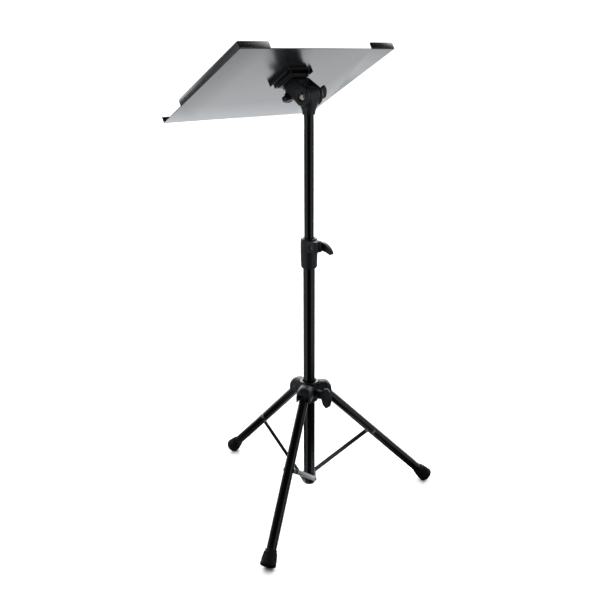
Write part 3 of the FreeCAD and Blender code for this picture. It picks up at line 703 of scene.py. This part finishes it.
for place in legs:
    placing = legFrame(place)
    tube("legTube_" + place, leg["from"], leg["length"] - leg["tubeEnd"], leg["outer"], leg["wall"],
         placing, "leg_tube", "leg_tube_" + place)
    softened("leg_top_" + place, "leg_top", 1.0 * mm)
    makeFoot(place, placing)
    makeStrap(place)
    strapPin = joints["strap_turn_" + place]
    outside = leg["outer"] + 0.3 + strapSize["thick"] + 0.1
    domed = buttonHead(*rivetHead, outside)
    closed = [(r, -h) for r, h in buttonHead(*rivetHead, leg["outer"] + 0.02)]
    rivet = turnedPin("legRivet" + place, list(reversed(closed)) + [(3, -leg["outer"]), (3, outside)] + domed,
                      Vector(strapPin["pos_m"]) / mm, strapPin["axis"], 40)
    wear(rivet, "rivet", ["leg_rivet_" + place])
print("legs, feet and straps made")


# head

head = {"knuckle": 17.8, "washer": 1.0, "seat": 23.0, "sideways": 9}
tiltAxis = Vector(joints["desk_tilt"]["pos_m"])
slope = Vector(joints["desk_slide"]["axis"])
normal = Vector(joints["desk_knob_turn"]["axis"])


def onHead(x, s, n):
    # across, down the slope and out of the desk's plane, from the tilt axis, in millimetres
    return tiltAxis + Vector((x * mm, 0, 0)) + slope * (s * mm) + normal * (n * mm)


headTurn = Matrix((Vector((1, 0, 0)), -slope, normal)).transposed().to_4x4()

softened("tilt_socket", "head", 1.3 * mm)
softened("tilt_yoke", "head", 1.8 * mm)
softened("tilt_knob", "knob", 1.4 * mm)
softened("head_plate", "plate", 0.45 * mm)
softened("desk_bracket", "plate", 0.45 * mm)

rings = []
for side in (-1, 1):
    a, b = sorted((side * head["knuckle"], side * (head["knuckle"] + head["washer"])))
    ring = [(4.05, a), (19.8, a), (20, a + 0.2), (20, b - 0.2), (19.8, b), (4.05, b)]
    rings.append(turnedPin("washer%d" % side, ring, tiltAxis / mm, (1, 0, 0), 64))
wear(joinedPieces("tiltWashers", rings), "plug", ["tilt_washers"])

seat = head["seat"]
boltProfile = [(0, -40), (3.6, -40), (4, -39.6), (4, seat), (9.6, seat), (10, seat + 0.4), (10, seat + 0.9)]
boltProfile += buttonHead(9.4, 4.0, seat + 1.0)[1:]
nickelBolt = turnedPin("tiltBolt", boltProfile, tiltAxis / mm, (1, 0, 0), 64)
wear(nickelBolt, "nickel", ["tilt_bolt"])


def crossHead(name, radius, height, shank, length, flat=False):
    # screw head with a cross recess, head up, along +Z
    top = [(radius, 0.25), (radius, height)] if flat else [(radius, 0.25)]
    angles = [math.radians(a) for a in range(15, 90, 15)]
    dome = [(radius * math.cos(a), 0.25 + (height - 0.25) * math.sin(a)) for a in angles]
    profile = [(0, -length), (shank, -length), (shank, 0), (radius - 0.2, 0)] + top
    profile += ([] if flat else dome) + [(0, height)]
    made = lathe(name, [(r * mm, h * mm) for r, h in profile], upright, 36)
    cutter = bmesh.new()
    for turn in (0, 90):
        arm = bmesh.ops.create_cube(cutter, size=1.0)["verts"]
        bmesh.ops.scale(cutter, verts=arm, vec=(radius * 1.15 * mm, 0.75 * mm, height * 1.3 * mm))
        bmesh.ops.rotate(cutter, verts=arm, matrix=Matrix.Rotation(math.radians(turn), 3, "Z"))
        bmesh.ops.translate(cutter, verts=arm, vec=(0, 0, height * 1.05 * mm))
    cross = meshObject("cross", cutter)
    recess = made.modifiers.new("recess", "BOOLEAN")
    recess.object = cross
    recess.operation = "DIFFERENCE"
    recess.solver = "EXACT"
    recess.use_self = True
    settle(made)
    bpy.data.objects.remove(cross)
    return made


headX = head["sideways"]
underTurn = (-normal).to_track_quat("Z", "Y").to_euler()
upTurn = normal.to_track_quat("Z", "Y").to_euler()
bracketPlaces = [tuple(onHead(headX + x, s, 66.9)) for x in (-35, 35) for s in (7, 50)]
bracketScrews = repeated("bracketScrews", crossHead("panHead", 4.0, 2.4, 2.0, 3.6), bracketPlaces, underTurn, "dark")
wear(bracketScrews, "dark", ["bracket_screws"])
yokePlaces = [tuple(onHead(headX + x, s, 56.5)) for x in (-13, 11) for s in (10, 38)]
yokeScrews = repeated("yokeScrews", crossHead("flatHead", 5.0, 2.4, 2.5, 6.5, True), yokePlaces, upTurn, "dark")
wear(yokeScrews, "dark", ["yoke_screws"])

deskKnob = {"s": 60, "grips": 24, "grip": 0.95, "gripAt": 15.5, "lobe": (8, 6, 7.5), "lobeAt": (16.3, 0, 24.8)}
knobFrame = Matrix.Translation(onHead(headX, deskKnob["s"], 0)) @ headTurn
knobProfile = [(0, 17.2), (6.5, 17.0), (7.2, 16.2), (8.6, 16), (11.5, 16.9), (13.8, 18.8)]
knobProfile += arcPoints((12.9, 22.0), 2.8, -20, 0, 3) + [(15.7, 28.4)] + arcPoints((12.9, 28.6), 2.8, 0, 70, 5)
knobProfile += [(10.4, 32.6), (7.4, 33.6), (7.0, 34.4), (7.0, 37.5), (6.5, 38), (0, 38)]
knobBody = lathe("knobBody", [(r * mm, h * mm) for r, h in knobProfile], knobFrame, 72)
gripEnds = [(deskKnob["gripAt"] * mm, 0, h * mm) for h in (20.4, 30)]
knobGrips = ribs("knobGrips", deskKnob["grips"], *gripEnds, deskKnob["grip"] * mm, "knob", knobFrame)
lobe = bmesh.new()
bmesh.ops.create_cube(lobe, size=1.0)
bmesh.ops.scale(lobe, verts=lobe.verts, vec=Vector(deskKnob["lobe"]) * mm)
for vert in lobe.verts:
    if vert.co.x > 0:
        vert.co.y *= 0.75
        vert.co.z *= 0.8
bmesh.ops.translate(lobe, verts=lobe.verts, vec=Vector(deskKnob["lobeAt"]) * mm)
lobe.transform(knobFrame @ Matrix.Rotation(math.radians(20), 4, "Z"))
knobLobe = settle(rounded(meshObject("knobLobe", lobe), 1.6 * mm, 4))
wear(joinedPieces("deskKnob", [knobBody, knobGrips, knobLobe]), "knob", ["desk_knob"])
threaded("deskScrew", onHead(headX, deskKnob["s"], 38) / mm, normal, 28.4, 3.0, 1.0, "desk_screw")
print("head made")


# desk

desk = {"half": 255, "top": -101, "bottom": 263, "under": 69.4, "sheet": 1.2, "flange": 17.7, "corner": 89, "side": 270,
        "bend": 2.0, "steps": 5, "softEdge": 0.28, "clip": 2.5}


def makeDesk():
    half = desk["half"] - desk["sheet"] / 2
    t = desk["sheet"]
    bend, steps = desk["bend"], desk["steps"]
    mid = desk["under"] + t / 2
    rise = desk["under"] + desk["flange"]
    s0, s1 = desk["top"] + t / 2, desk["bottom"] - t / 2
    a, b0, b1 = half - bend, s0 + bend, s1 - bend
    inner = desk["half"] - desk["corner"]
    stop = desk["top"] + desk["side"]
    shape = bmesh.new()

    def quad(corners):
        shape.faces.new([shape.verts.new(onHead(*corner)) for corner in corners])

    def moved(corner, outward, distance):
        return (corner[0] + outward[0] * distance, corner[1] + outward[1] * distance)

    def curl(start, end, outward, edgeAt):
        # a bend and its flange along a fold line; outward is the unit step across it in (x, s)
        clip = desk["clip"]
        angles = [math.pi / 2 * i / steps for i in range(steps + 1)]
        ring = [(bend * math.sin(angle), bend * (1 - math.cos(angle))) for angle in angles]
        for (u0, v0), (u1, v1) in zip(ring, ring[1:]):
            quad([(*moved(start, outward, u0), mid + v0), (*moved(end, outward, u0), mid + v0),
                  (*moved(end, outward, u1), mid + v1), (*moved(start, outward, u1), mid + v1)])
        p, q = moved(start, outward, bend), moved(end, outward, bend)
        run = Vector((q[0] - p[0], q[1] - p[1])).normalized() * clip
        pc = (p[0] + run[0], p[1] + run[1]) if edgeAt[0] else p
        qc = (q[0] - run[0], q[1] - run[1]) if edgeAt[1] else q
        wall = [(*p, mid + bend), (*q, mid + bend)]
        wall += [(*q, rise - clip), (*qc, rise)] if edgeAt[1] else [(*q, rise)]
        wall += [(*pc, rise), (*p, rise - clip)] if edgeAt[0] else [(*p, rise)]
        quad(wall)

    columns = [-a, -inner, inner, a]
    rows = [b0, stop, b1]
    for x0, x1 in zip(columns, columns[1:]):
        for r0, r1 in zip(rows, rows[1:]):
            quad([(x0, r0, mid), (x1, r0, mid), (x1, r1, mid), (x0, r1, mid)])
    for side in (-1, 1):
        curl((side * a, b0), (side * a, stop), (side, 0), (False, True))
        brink = side * desk["half"]
        quad([(side * a, stop, mid), (brink, stop, mid), (brink, b1, mid), (side * a, b1, mid)])
        curl((side * a, b0), (side * inner, b0), (0, -1), (False, True))
    quad([(-inner, b0, mid), (inner, b0, mid), (inner, desk["top"], mid), (-inner, desk["top"], mid)])
    for x0, x1 in zip(columns, columns[1:]):
        curl((x0, b1), (x1, b1), (0, 1), (False, False))
    for side in (-1, 1):
        # rounded corner of each pair of flanges
        for i in range(steps):
            a0, a1 = math.pi / 2 * i / steps, math.pi / 2 * (i + 1) / steps
            p0 = (side * (a + bend * math.cos(a0)), b0 - bend * math.sin(a0))
            p1 = (side * (a + bend * math.cos(a1)), b0 - bend * math.sin(a1))
            quad([(*p0, mid + bend), (*p1, mid + bend), (*p1, rise), (*p0, rise)])
            for j in range(steps):
                e0, e1 = math.pi / 2 * j / steps, math.pi / 2 * (j + 1) / steps
                ball = [(side * (a + bend * math.sin(e) * math.cos(c)), b0 - bend * math.sin(e) * math.sin(c),
                         mid + bend - bend * math.cos(e)) for e, c in ((e0, a0), (e0, a1), (e1, a1), (e1, a0))]
                quad(ball[1:] if j == 0 else ball)
    bmesh.ops.remove_doubles(shape, verts=shape.verts, dist=2e-5)
    bmesh.ops.dissolve_degenerate(shape, edges=shape.edges, dist=1e-6)
    bmesh.ops.recalc_face_normals(shape, faces=shape.faces)
    made = meshObject("deskSheet", shape)
    thick = made.modifiers.new("sheet", "SOLIDIFY")
    thick.thickness = t * mm
    thick.offset = 0
    thick.use_even_offset = True
    rounded(made, desk["softEdge"] * mm, 2, 60)
    return wear(settle(made, 32), "desk_sheet", ["desk_sheet"])


makeDesk()
print("desk made")


# floor, light and camera

studio = {"towards": 46.65, "near": 0.006, "side": 0.66, "far": 4.6, "above": 0.03, "tint": (0.945, 0.975, 1.0),
          "floor": 0.92, "reach": 14, "rings": 10, "spokes": 48, "floorFar": 1.3, "horizon": 0.16,
          "poolFade": (3.2, 4.4), "poolAcross": (-0.4, 0.9), "under": 0.1,
          "paintedShadows": ((0.1, -0.5, 0), (-0.5, 0.35, 0), (-0.2, 0.62, 0)), "paintedShadowFade": (0.28, 0.5),
          "sun": 4.0, "spread": 100, "sunTilt": (6, -4, 0), "backdrop": 1.2}
camera = {"place": (1.3175, 1.3954, 1.2165), "heading": -132.63, "down": 17.97, "roll": -0.29, "lens": 45.23}


def studioLight(paint, direction, side, far):
    # dark where the camera stands, a soft panel on either side, and its own level behind the stand
    a = math.radians(studio["towards"])
    flat = paint.node("ShaderNodeVectorMath", {"operation": "MULTIPLY"}, {0: direction, 1: (1, 1, 0)})
    unit = paint.node("ShaderNodeVectorMath", {"operation": "NORMALIZE"}, {0: flat})
    facing = paint.dot(unit, (math.cos(a), math.sin(a), 0))
    past = paint.between(-1 * facing, -0.35, 0.4)
    back = paint.between(-1 * facing, 0.4, 0.82)
    front = paint.between(facing, 0.73, 0.85)
    level = side * (1 - 0.8 * past) * (1 - back) + far * back
    return level * (1 - front) + studio["near"] * front


def tinted(paint, level):
    return paint.node("ShaderNodeVectorMath", {"operation": "SCALE"}, {0: studio["tint"], 3: level})


def makeFloor():
    shape = bmesh.new()
    rings, spokes = studio["rings"], studio["spokes"]
    circle = [(math.cos(2 * math.pi * k / spokes), math.sin(2 * math.pi * k / spokes)) for k in range(spokes)]
    middle = shape.verts.new((0, 0, 0))
    loops = []
    for i in range(1, rings + 1):
        r = studio["reach"] * (i / rings) ** 2
        loops.append([shape.verts.new((r * x, r * y, 0)) for x, y in circle])
    for k in range(spokes):
        shape.faces.new((middle, loops[0][k], loops[0][(k + 1) % spokes]))
        for inner, outer in zip(loops, loops[1:]):
            shape.faces.new((inner[k], outer[k], outer[(k + 1) % spokes], inner[(k + 1) % spokes]))
    made = meshObject("studioFloor", shape)
    paint = Paint("paleFloor", {"Roughness": 0.9, "Specular IOR Level": 0.1})
    mottle = paint.noise(3, 3)
    tone = paint.blend(mottle, (studio["floor"] - 0.02,) * 3, (studio["floor"] + 0.02,) * 3)
    paint.feed(paint.shader.inputs["Base Color"], tone)
    where = paint.node("ShaderNodeNewGeometry", {}, {}, "Position")
    # the pool of light behind the stand fades outwards and from one side to the other
    reached = paint.node("ShaderNodeVectorMath", {"operation": "LENGTH"}, {0: where}, 1)
    away = paint.between(reached, *studio["poolFade"])
    a = math.radians(studio["towards"] + 90)
    across = paint.dot(where, (math.cos(a), math.sin(a), 0))
    pool = studio["floorFar"] * (1.12 - 0.3 * paint.between(across, *studio["poolAcross"]))
    level = studioLight(paint, where, studio["side"], pool * (1 - away) + studio["horizon"] * away)
    for shadowSpot in studio["paintedShadows"]:
        # painted shadow of the stand in the floor's glow: darker patches that the far legs and straps reflect, down to
        # the under level inside
        gap = paint.node("ShaderNodeVectorMath", {"operation": "DISTANCE"}, {0: where, 1: shadowSpot}, 1)
        level = level * (studio["under"] + (1 - studio["under"]) * paint.between(gap, *studio["paintedShadowFade"]))
    # the floor glows only for rays other than the camera's, and that glow carries the painted shadows of the stand
    glow = paint.node("ShaderNodeEmission", {}, {"Color": tinted(paint, level), "Strength": 1.0})
    seen = paint.node("ShaderNodeLightPath", {}, {}, "Is Camera Ray")
    mixed = paint.node("ShaderNodeMixShader", {}, {0: seen, 1: glow, 2: Signal(paint, paint.shader.outputs[0])})
    paint.tree.links.new(mixed.socket, paint.tree.nodes["Material Output"].inputs["Surface"])
    made.data.materials.append(paint.material)
    return made


def makeWorld():
    world = bpy.data.worlds.new("studioAir")
    world.use_nodes = True
    bpy.context.scene.world = world
    paint = Paint.__new__(Paint)
    paint.tree = world.node_tree
    direction = paint.node("ShaderNodeTexCoord", {}, {}, "Generated")
    up = paint.node("ShaderNodeSeparateXYZ", {}, {0: direction}, 2)
    low = 1 - paint.between(up, 0.38, 0.55)
    high = 1 - paint.between(up, 0.6, 0.8)
    level = studioLight(paint, direction, studio["side"] * low, studio["far"] * high) + studio["above"]
    seen = paint.node("ShaderNodeLightPath", {}, {}, "Is Camera Ray")
    shown = paint.blend(seen, tinted(paint, level), (studio["backdrop"],) * 3)
    paint.feed(paint.tree.nodes["Background"].inputs["Color"], shown)
    paint.tree.nodes["Background"].inputs["Strength"].default_value = 1


def makeLight(floor):
    # wide overhead light for the floor alone, which gives the soft shadows under the feet
    lamp = bpy.data.lights.new("softSun", "SUN")
    lamp.energy = studio["sun"]
    lamp.angle = math.radians(studio["spread"])
    made = bpy.data.objects.new("softSun", lamp)
    made.rotation_euler = [math.radians(a) for a in studio["sunTilt"]]
    bpy.context.scene.collection.objects.link(made)
    lit = bpy.data.collections.new("litFloor")
    lit.objects.link(floor)
    made.light_linking.receiver_collection = lit


def makeCamera():
    heading, down, roll = (math.radians(camera[key]) for key in ("heading", "down", "roll"))
    ahead = Vector((math.cos(heading) * math.cos(down), math.sin(heading) * math.cos(down), -math.sin(down)))
    right = Vector((math.sin(heading), -math.cos(heading), 0))
    up = right.cross(ahead)
    right, up = right * math.cos(roll) + up * math.sin(roll), up * math.cos(roll) - right * math.sin(roll)
    lens = bpy.data.cameras.new("studioCamera")
    lens.lens = camera["lens"]
    lens.sensor_width = 36
    lens.clip_end = 60
    made = bpy.data.objects.new("studioCamera", lens)
    turn = Matrix((right, up, -ahead)).transposed().to_4x4()
    made.matrix_world = Matrix.Translation(camera["place"]) @ turn
    bpy.context.scene.collection.objects.link(made)
    bpy.context.scene.camera = made


floor = makeFloor()
makeWorld()
makeLight(floor)
makeCamera()
bpy.context.scene.view_settings.view_transform = "Standard"
print("studio made")

bpy.context.view_layer.update()
